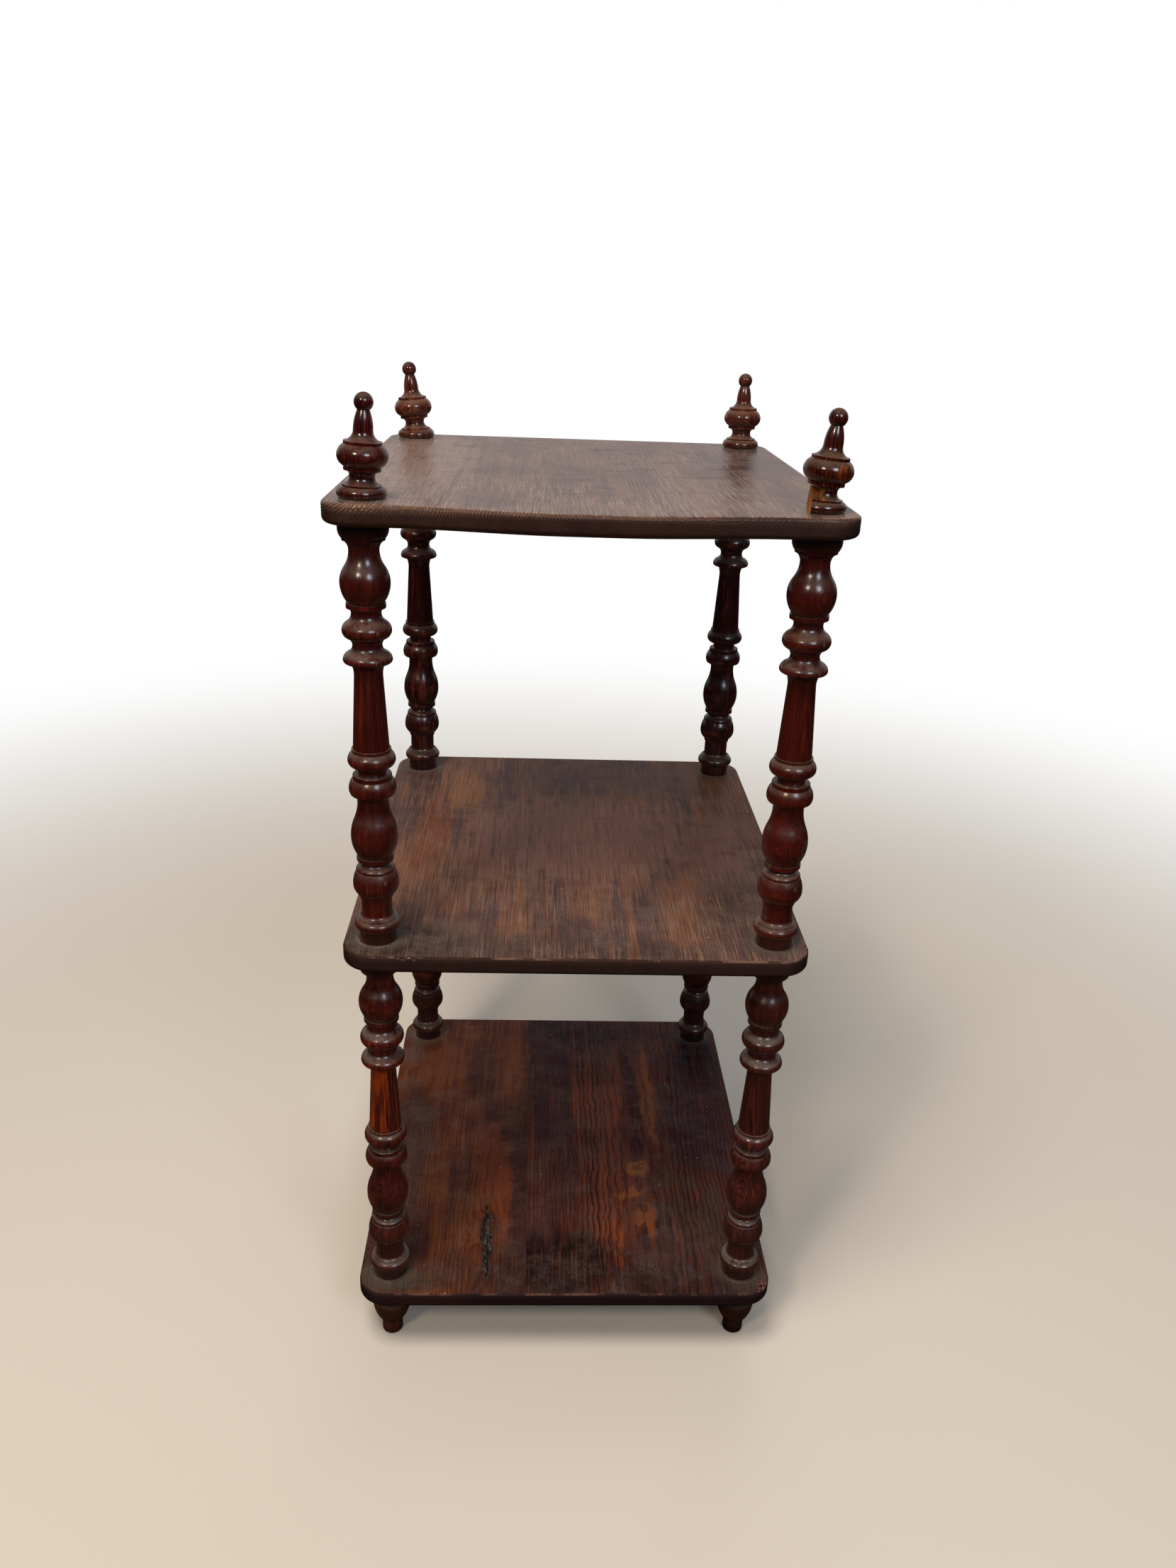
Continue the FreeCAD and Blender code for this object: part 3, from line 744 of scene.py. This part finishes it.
BOTTOM_RIGHT_LOOK = dict(
    BOTTOM_LOOK, late=1.1, amber=0.5, dust=0.45, spacing=0.0034, ripple=0.0042, wave=0.006,
    tones=(srgb(58, 28, 31), srgb(84, 40, 29), srgb(116, 56, 28), srgb(82, 66, 60)),
    clear=((0.030, 0.030, 1.1), (0.128, 0.012, 0.8)),
    knots=((0.0115, -0.042, 0.012, 0.022, 0.007),),
    patches=(
        (0.150, 0.02, 0.045, 0.12, srgb(50, 32, 38), 0.8),
        (0.165, -0.204, 0.034, 0.018, srgb(64, 57, 51), 0.9),
        (0.186, -0.214, 0.007, 0.009, srgb(136, 84, 72), 0.8),
        (0.052, -0.16, 0.006, 0.06, srgb(122, 58, 28), 0.9),
        (0.125, -0.14, 0.060, 0.06, srgb(60, 43, 38), 0.8),
        (-0.005, -0.185, 0.080, 0.05, srgb(18, 9, 10), 0.95),
        (0.110, -0.208, 0.080, 0.03, srgb(44, 29, 28), 0.9),
        (0.040, -0.10, 0.012, 0.08, RED_EARTH, 0.6),
        (0.040, 0.05, 0.03, 0.05, RED_EARTH, 0.6),
        (0.098, 0.07, 0.010, 0.10, srgb(116, 60, 31), 0.9),
        (0.076, 0.07, 0.010, 0.10, PURPLE, 1.0),
        (0.080, 0.0, 0.013, 0.04, PURPLE, 1.0),
        (0.078, -0.052, 0.014, 0.012, srgb(144, 80, 34), 1.0),
        (0.068, -0.088, 0.016, 0.008, srgb(132, 70, 32), 0.9),
        (0.082, -0.13, 0.010, 0.022, srgb(128, 68, 32), 0.8),
        # Painted shadow at the rear and the rear right of the board
        (0.02, 0.20, 0.12, 0.030, REAR_SHADOW_TINT, 0.7),
        (0.165, 0.14, 0.035, 0.07, REAR_SHADOW_TINT, 1.0),
    ),
)

# Each board's look, and its pith as x and the height above the shelf's top
BOARDS = {
    ("top", "left"): (TOP_LOOK, (-0.221, 0.065)),
    ("top", "right"): (TOP_RIGHT_LOOK, (0.088, 0.053)),
    ("middle", "left"): (MIDDLE_LOOK, (-0.260, 0.060)),
    ("middle", "right"): (MIDDLE_LOOK, (0.230, 0.060)),
    ("bottom", "left"): (BOTTOM_LEFT_LOOK, (-0.055, 0.055)),
    ("bottom", "right"): (BOTTOM_RIGHT_LOOK, (0.080, 0.060)),
}


def board_name(tier, side):
    return tier + "_shelf_" + side + "_board"


for (tier, side), (look, pith) in BOARDS.items():
    name = board_name(tier, side)
    seed = rng.uniform(0.0, 50.0)
    dress(name, shelf_wood("pine_" + name, SHELF_TOP[tier], seed, pith, look))


# ---------------------------------------------------------------- wear that changes shapes
def raw_pine(name, tones, grain, depth):
    """Torn or rotten wood: tones from dark to light, and how fine its fibres are on each axis."""
    dark, plain, light = tones
    material, graph = new_material(name)
    x, y, z = (place * scale for place, scale in zip(graph.place(), grain))
    fibre = graph.noise(x, y, z, detail=4.0, rough=0.7, seed=3.0)
    blot = graph.noise(x * 0.22, y * 0.22, z * 0.22, detail=3.0, rough=0.6, seed=9.0)
    color = graph.mix(graph.step(fibre, 0.36, 0.62), dark, plain)
    color = graph.mix(graph.step(blot * 0.5 + fibre * 0.5, 0.48, 0.58), color, light)
    graph.finish(color, 0.75, fibre, depth, specular=0.2)
    return material


TORN = raw_pine(
    "torn_pine", (srgb(128, 72, 34), srgb(166, 108, 54), srgb(184, 130, 74)),
    (900.0, 900.0, 60.0), 0.0006)
CHIPPED = raw_pine(
    "old_chip", (srgb(48, 28, 22), srgb(84, 56, 44), srgb(124, 94, 78)),
    (420.0, 420.0, 420.0), 0.0004)
ROTTEN = raw_pine(
    "rotten_knot", (srgb(16, 13, 13), srgb(42, 36, 34), srgb(94, 90, 80)),
    (480.0, 200.0, 480.0), 0.0006)
SHARP_OVER = math.radians(32.0)


def stand_in(name):
    """A copy of a CAD node that can be reshaped, shown in the node's place."""
    piece = bpy.data.objects.new(name + "_worn", bpy.data.meshes.new(name + "_worn"))
    scene.collection.objects.link(piece)
    shape = bmesh.new()
    shape.from_mesh(nodes[name].data)
    bmesh.ops.remove_doubles(shape, verts=shape.verts, dist=1e-6)
    shape.to_mesh(piece.data)
    shape.free()
    piece.data.materials.append(nodes[name].data.materials[0])
    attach(piece, "root")
    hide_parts(name)
    return piece


def smooth(piece):
    """Smooth shading that keeps the sharp edges, in place of the frame's own normals."""
    own_normals = piece.data.attributes.get("custom_normal")
    if own_normals:
        piece.data.attributes.remove(own_normals)
    piece.data.shade_smooth()
    piece.data.set_sharp_from_angle(angle=SHARP_OVER)


def ramp(value, low, high):
    """0 at low, 1 at high and smooth between; low may be above high."""
    through = min(1.0, max(0.0, (value - low) / (high - low)))
    return through * through * (3.0 - 2.0 * through)


def cutter_from(shape, name, material):
    """Turns a bmesh into an object to cut with, and frees the bmesh."""
    cutter = bpy.data.objects.new(name, bpy.data.meshes.new(name))
    shape.to_mesh(cutter.data)
    shape.free()
    cutter.data.materials.append(material)
    scene.collection.objects.link(cutter)
    return cutter


def carve(piece, cutter):
    """Takes the cutter's lumps out of the piece; the new faces keep the cutter's material."""
    cut = piece.modifiers.new("cut", "BOOLEAN")
    cut.operation = "DIFFERENCE"
    cut.solver = "EXACT"
    cut.use_self = True
    cut.material_mode = "TRANSFER"
    cut.object = cutter
    bpy.context.view_layer.update()
    depsgraph = bpy.context.evaluated_depsgraph_get()
    carved = bpy.data.meshes.new_from_object(piece.evaluated_get(depsgraph))
    piece.modifiers.clear()
    piece.data = carved
    bpy.data.objects.remove(cutter)


# The front right finial: a flake has split off its left side, and its neck is torn there.
SPLIT_FROM_AXIS = 0.0090
SPLIT_TOP = 0.0095             # heights are above the finial's foot
TORN_NECK = ((-0.034, -0.022, 0.0093), (-0.0036, 0.022, 0.0172))
TORN_NECK_TURN = 0.14
SPLINTER = ((-0.0092, 0.0010, 0.0070), (-0.0036, 0.0120, 0.0160))
SPLINTER_TURN = -0.10


def torn_lump(axis, base, corners, turn):
    """A rough block between two corners given from a turning's foot, turned about its axis."""
    chance = random.Random(3)
    foot = Vector((axis[0], axis[1], 0.0))
    low, high = ((x, y, base + z) for x, y, z in corners)
    shape = bmesh.new()
    bmesh.ops.create_cube(shape, size=1.0)
    bmesh.ops.subdivide_edges(shape, edges=shape.edges[:], cuts=6, use_grid_fill=True)
    for vertex in shape.verts:
        place = [chance.uniform(-0.0003, 0.0003) + start + (end - start) * (through + 0.5)
                 for start, end, through in zip(low, high, vertex.co)]
        vertex.co = Matrix.Rotation(turn, 3, "Z") @ Vector(place) + foot
    return cutter_from(shape, "torn_lump", TORN)


def bare_split(piece, axis, base):
    """Shows raw wood on the flat where the flake split away."""
    piece.data.materials.append(TORN)
    for face in piece.data.polygons:
        beside = face.center.x - axis[0] + SPLIT_FROM_AXIS
        on_split = face.normal.x < -0.97 and abs(beside) < 0.0025
        if on_split and base < face.center.z < base + SPLIT_TOP:
            face.material_index = 1


def leave_splinter(piece, splinter, raw):
    """Joins the splinter to the piece, as raw wood."""
    shape = bmesh.new()
    shape.from_mesh(piece.data)
    before = len(shape.faces)
    shape.from_mesh(splinter.data)
    shape.faces.ensure_lookup_table()
    for face in shape.faces[before:]:
        face.material_index = raw
    shape.to_mesh(piece.data)
    shape.free()
    bpy.data.objects.remove(splinter)


def tear(piece, axis, base):
    """Raw split faces, a torn neck, and a splinter left behind it."""
    bare_split(piece, axis, base)
    carve(piece, torn_lump(axis, base, TORN_NECK, TORN_NECK_TURN))
    raw = [slot for slot, material in enumerate(piece.data.materials) if material == TORN]
    for face in piece.data.polygons:
        if face.material_index in raw and face.normal.z > 0.7:
            face.material_index = 0
    leave_splinter(piece, torn_lump(axis, base, SPLINTER, SPLINTER_TURN), raw[0])


def lean_over(piece, axis_x, base, angle):
    """Leans a piece to the right, by an angle in radians, from just above its foot."""
    for vertex in piece.data.vertices:
        bent = angle * ramp(vertex.co.z, base + 0.001, base + 0.012)
        across = vertex.co.x - axis_x
        vertex.co.x += (vertex.co.z - base) * bent
        vertex.co.z -= across * bent


# How far each finial's ball has come to lean, in metres to the right
LEANS = {"front_left": 0.0040, "front_right": 0.0060, "rear_left": -0.0065}
for corner, lean in LEANS.items():
    name = "finial_" + corner
    base = SHELF_TOP["top"]
    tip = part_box(name)[1][2]
    piece = stand_in(name)
    if corner == "front_right":
        tear(piece, CORNERS[corner], base)
    lean_over(piece, CORNERS[corner][0], base, lean / (tip - base))
    smooth(piece)


def blobs(name, places, material, seed):
    """Rough lumps, each at a place with its half sizes, as one mesh to cut away."""
    chance = random.Random(seed)
    shape = bmesh.new()
    for centre, half in places:
        lump = bmesh.ops.create_icosphere(shape, subdivisions=2, radius=1.0)["verts"]
        twist = Matrix.Rotation(chance.uniform(-0.25, 0.25), 3, "Z")
        for vertex in lump:
            grown = vertex.co * chance.uniform(0.78, 1.18)
            sized = Vector([part * size for part, size in zip(grown, half)])
            vertex.co = Vector(centre) + twist @ sized
    return cutter_from(shape, name, material)


def nicks(board, top, chance):
    """Places of shallow dents along a board's upper arris: its ends and its outer side."""
    low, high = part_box(board)
    places = []
    for _ in range(3):
        along = chance.uniform(low[0] + 0.03, high[0] - 0.03)
        edge = chance.choice((low[1], high[1]))
        size = chance.uniform(0.0012, 0.0018)
        long = size * chance.uniform(2.5, 5.0)
        places.append(((along, edge, top), (long, size, size)))
    outer = low[0] if "left" in board else high[0]
    for _ in range(3):
        along = chance.uniform(low[1] + 0.04, high[1] - 0.04)
        size = chance.uniform(0.0012, 0.0018)
        long = size * chance.uniform(2.5, 5.0)
        places.append(((outer, along, top), (size, long, size)))
    return places


def cup(piece, depth):
    """The board sinks between its front posts, and not at the posts or the rear edge."""
    shape = bmesh.new()
    shape.from_mesh(piece.data)
    for normal, spacing, count in (((1.0, 0.0, 0.0), 0.0125, 12), ((0.0, 1.0, 0.0), 0.025, 8)):
        for index in range(-count, count + 1):
            everything = shape.verts[:] + shape.edges[:] + shape.faces[:]
            cut_at = [part * spacing * index for part in normal]
            bmesh.ops.bisect_plane(shape, geom=everything, plane_co=cut_at, plane_no=normal)
    for vertex in shape.verts:
        across = 1.0 - ramp(abs(vertex.co.x), 0.02, 0.145)
        vertex.co.z -= depth * across * ramp(vertex.co.y, 0.20, -0.22)
    shape.to_mesh(piece.data)
    shape.free()


def knot_hollows(chance):
    """The rotten knot in the bottom shelf: ragged hollows that run into each other."""
    front, rear, top = -0.204, -0.113, SHELF_TOP["bottom"]
    count = 34
    places = []
    for index in range(count):
        through = (index + chance.uniform(-0.4, 0.4)) / (count - 1.0)
        swell = math.sin(math.pi * (0.06 + 0.88 * through)) ** 0.8
        wide = swell * chance.uniform(0.0018, 0.0040)
        x = -0.0745 - 0.004 * through + chance.uniform(-0.0026, 0.0026) * swell
        y = front + (rear - front) * through
        long = chance.uniform(0.0030, 0.0075)
        places.append(((x, y, top), (wide, long, wide * 0.8 + 0.0006)))
    return places


TOP_CUP = 0.0026
# Larger losses: the centre of each and its half sizes
OWN_NICKS = {
    "middle_shelf_left_board": [
        ((-0.1460, -0.2234, 0.4306), (0.0026, 0.0016, 0.0014)),
        ((-0.1420, -0.2238, 0.4296), (0.0032, 0.0016, 0.0020)),
        ((-0.1370, -0.2234, 0.4305), (0.0020, 0.0018, 0.0012)),
        ((-0.1325, -0.2238, 0.4290), (0.0022, 0.0010, 0.0014)),
        ((-0.1280, -0.2234, 0.4308), (0.0030, 0.0014, 0.0013)),
    ],
    "middle_shelf_right_board": [
        ((0.1905, -0.2010, 0.4306), (0.0022, 0.0060, 0.0018)),
    ],
    "bottom_shelf_right_board": [
        ((0.1850, -0.2150, 0.0722), (0.0045, 0.0045, 0.0022)),
        ((0.1790, -0.2190, 0.0728), (0.0040, 0.0020, 0.0016)),
    ],
}

chance = random.Random(21)
for tier, side in BOARDS:
    board = board_name(tier, side)
    piece = stand_in(board)
    places = nicks(board, SHELF_TOP[tier], chance) + OWN_NICKS.get(board, [])
    carve(piece, blobs("nicks_" + board, places, CHIPPED, chance.random()))
    if tier == "top":
        cup(piece, TOP_CUP)
    if board == "bottom_shelf_left_board":
        carve(piece, blobs("hollows", knot_hollows(chance), ROTTEN, 5))
    smooth(piece)


# ---------------------------------------------------------------- the studio
FLOOR_REACH = 7.0
FADE_FROM = 0.7                # where the floor begins to fade into the white background
FADE_TO = 2.2
PALE_FLOOR = srgb(212, 200, 184)
FLOOR_BOUNCE = srgb(104, 84, 62)      # what the floor throws back on the wood
FLOOR_MIRRORED = srgb(56, 42, 32)     # and what the varnish mirrors of it
WHITE = (1.0, 1.0, 1.0, 1.0)
ROOM_LIGHT = (0.24, 0.25, 0.27, 1.0)
ROOM_MIRRORED = (0.02, 0.02, 0.024, 1.0)
WALL_MIRRORED = (0.40, 0.36, 0.36, 1.0)


def floor_material():
    """A pale floor that fades to white far from the object."""
    material, graph = new_material("pale_floor")
    x, y, _ = graph.place()
    ray = graph.node("ShaderNodeLightPath").outputs
    cloth = graph.node("ShaderNodeBsdfDiffuse")
    unseen = graph.mix(ray["Is Glossy Ray"], FLOOR_BOUNCE, FLOOR_MIRRORED)
    graph.put(cloth.inputs[0], graph.mix(ray["Is Camera Ray"], unseen, PALE_FLOOR))
    blend = graph.node("ShaderNodeMixShader")
    away = graph.root(x * x + y * y)
    graph.put(blend.inputs[0], graph.step(away, FADE_FROM, FADE_TO) * ray["Is Camera Ray"])
    graph.put(blend.inputs[1], cloth.outputs[0])
    graph.put(blend.inputs[2], graph.node("ShaderNodeEmission").outputs[0])
    graph.put(graph.node("ShaderNodeOutputMaterial").inputs[0], blend.outputs[0])
    return material


def lay_floor():
    corners = [(x * FLOOR_REACH, y * FLOOR_REACH, 0.0) for x, y in ((-1, -1), (1, -1), (1, 1), (-1, 1))]
    mesh = bpy.data.meshes.new("floor")
    mesh.from_pydata(corners, [], [(0, 1, 2, 3)])
    mesh.materials.append(floor_material())
    floor = bpy.data.objects.new("floor", mesh)
    scene.collection.objects.link(floor)


def light_room():
    """White behind the object, plain light on it, and a grey wall behind it in its gloss."""
    world = bpy.data.worlds.new("studio")
    scene.world = world
    world.use_nodes = True
    graph = Graph(world.node_tree)
    ray = graph.node("ShaderNodeLightPath").outputs
    _, ahead, high = graph.split(graph.node("ShaderNodeTexCoord").outputs["Generated"])
    wall = graph.step(ahead, 0.30, 0.80) * graph.step(high, -0.10, 0.04)
    wall = wall * graph.step(high, 0.75, 0.45)
    unseen = graph.mix(ray["Is Glossy Ray"], ROOM_LIGHT, ROOM_MIRRORED)
    unseen = graph.mix(wall * ray["Is Glossy Ray"], unseen, WALL_MIRRORED)
    sky = graph.node("ShaderNodeBackground")
    graph.put(sky.inputs[0], graph.mix(ray["Is Camera Ray"], unseen, WHITE))
    graph.put(graph.node("ShaderNodeOutputWorld").inputs[0], sky.outputs[0])


def softbox(name, place, aim, size, power, color, mirrored):
    """A soft lamp; mirrored says whether the varnish shows it."""
    data = bpy.data.lights.new(name, "AREA")
    data.shape = "ELLIPSE"
    data.size, data.size_y = size
    data.energy = power
    data.color = color
    lamp = bpy.data.objects.new(name, data)
    lamp.location = place
    lamp.rotation_euler = (Vector(aim) - Vector(place)).to_track_quat("-Z", "Y").to_euler()
    lamp.visible_glossy = mirrored
    scene.collection.objects.link(lamp)


lay_floor()
light_room()
softbox("warm_lamp", (-1.1, -1.9, 2.1), (0.0, 0.0, 0.45), (0.42, 0.42), 17.0,
        (1.0, 0.84, 0.66), mirrored=True)
softbox("cool_window", (1.0, -2.2, 2.0), (0.0, 0.0, 0.45), (0.9, 0.9), 20.0,
        (0.78, 0.87, 1.0), mirrored=True)
softbox("overhead", (-0.5, -0.9, 2.7), (0.0, 0.0, 0.5), (1.0, 1.0), 46.0,
        (1.0, 0.95, 0.88), mirrored=False)
softbox("back_window", (0.4, 2.4, 1.9), (0.0, 0.0, 0.6), (2.2, 1.4), 20.0,
        (0.92, 0.96, 1.0), mirrored=False)

scene.view_settings.view_transform = "Standard"
